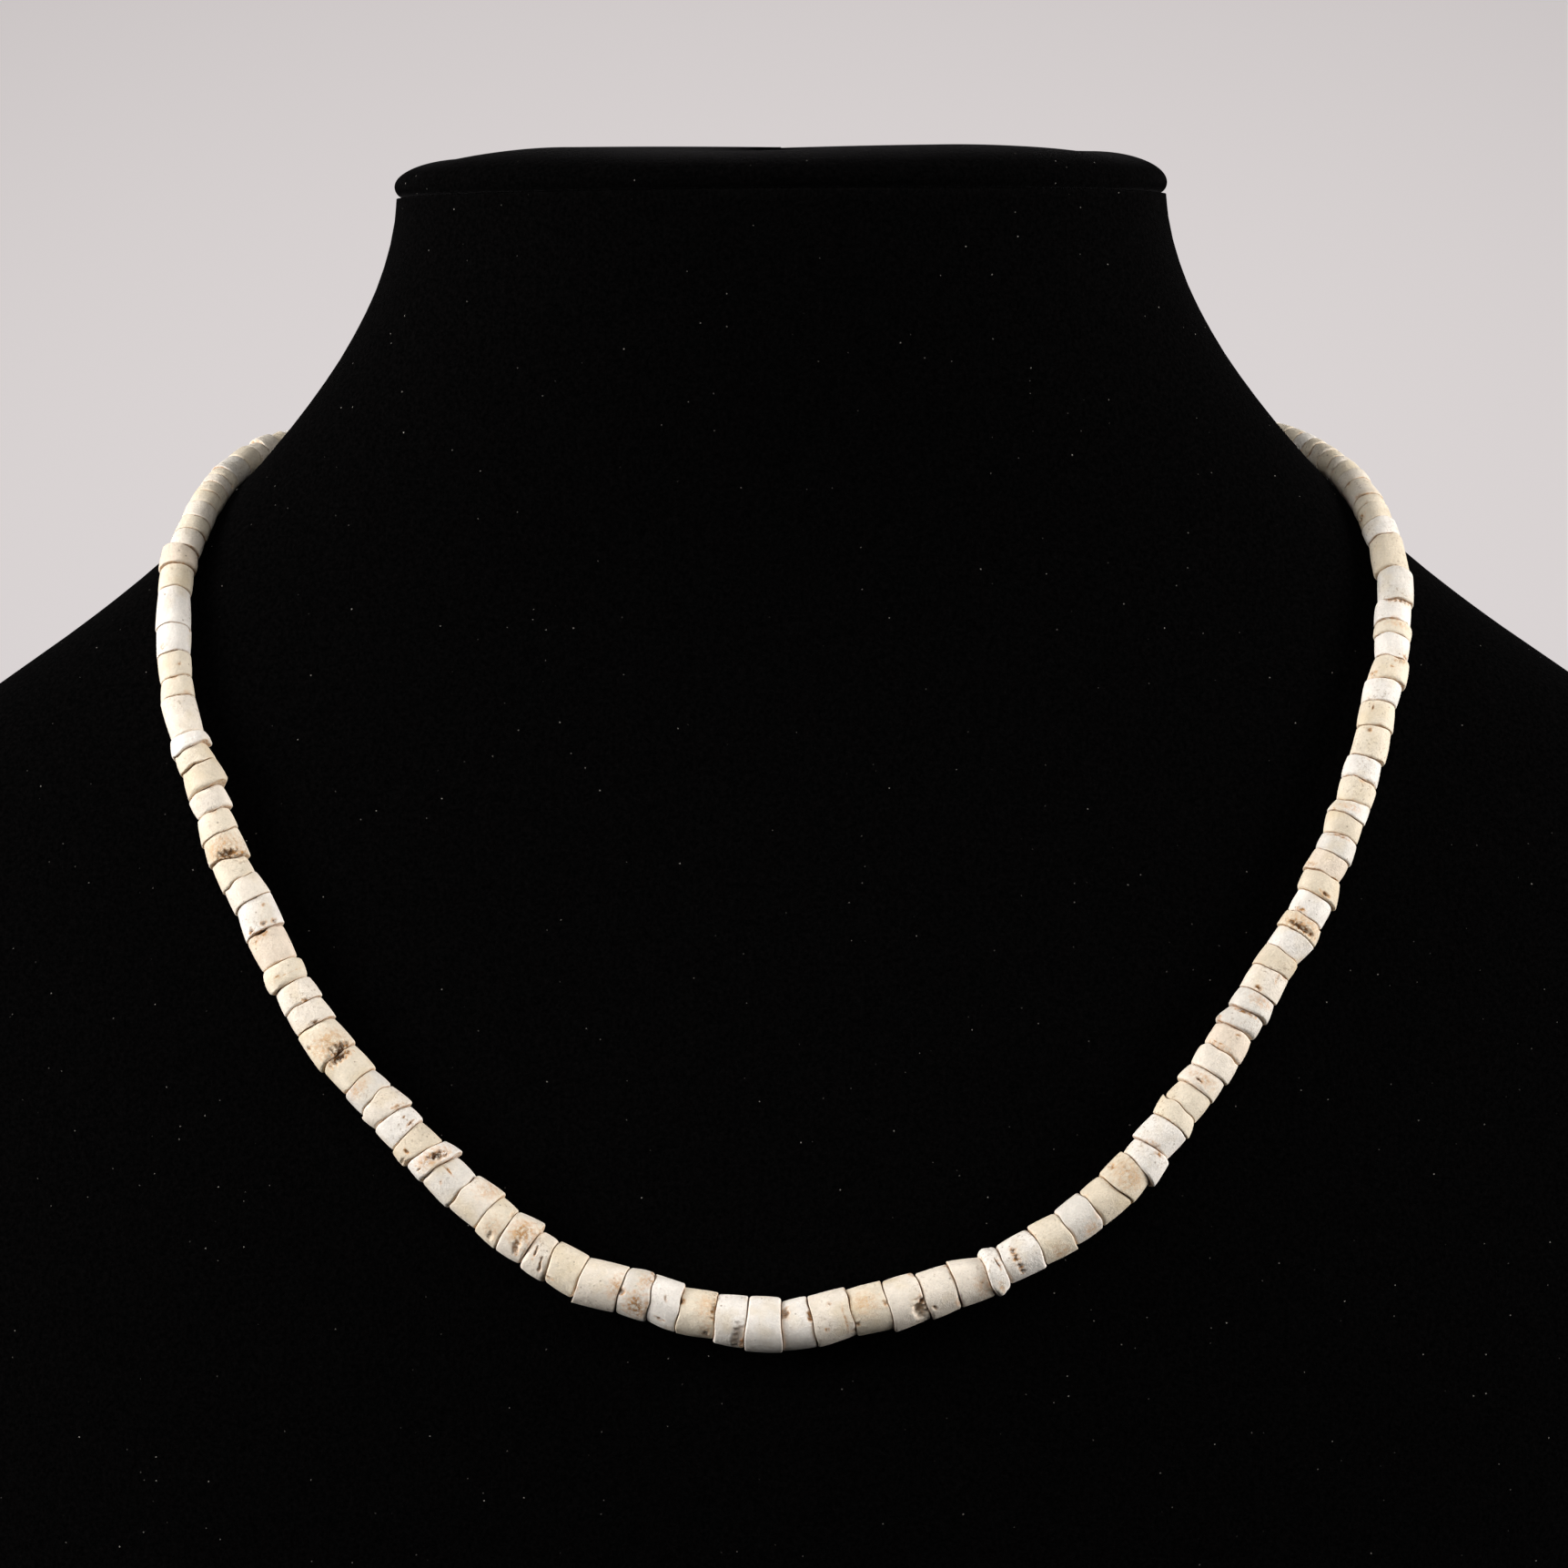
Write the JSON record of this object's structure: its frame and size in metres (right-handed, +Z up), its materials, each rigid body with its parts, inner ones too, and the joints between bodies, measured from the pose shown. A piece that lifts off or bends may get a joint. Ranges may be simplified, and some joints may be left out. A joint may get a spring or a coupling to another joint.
{
  "type": "stone bead necklace on a neck bust",
  "caption": "Graded loop of short drilled stone drum beads on a thread with a barrel clasp, resting on a padded, velvet-covered neck bust.",
  "frame": {"origin": "middle of the neck bust's flat foot, on the surface that it stands on", "axes": "+X to the viewer's right across the shoulders, +Y from the chest to the nape, +Z up along the neck"},
  "size_m": [0.2761, 0.1045, 0.2489],
  "materials": {
    "velvet": "black velvet with a short pile",
    "bead_stone": "matte off-white stone, worn and chipped, with brown dirt in its pits",
    "thread": "waxed twisted thread",
    "clasp_metal": "satin"
  },
  "bodies": {
    "root": {"bust_form": "velvet", "neck_cap": "velvet", "beads_left": "bead_stone", "beads_right": "bead_stone", "thread": "thread", "clasp": "clasp_metal"}
  },
  "joints": []
}
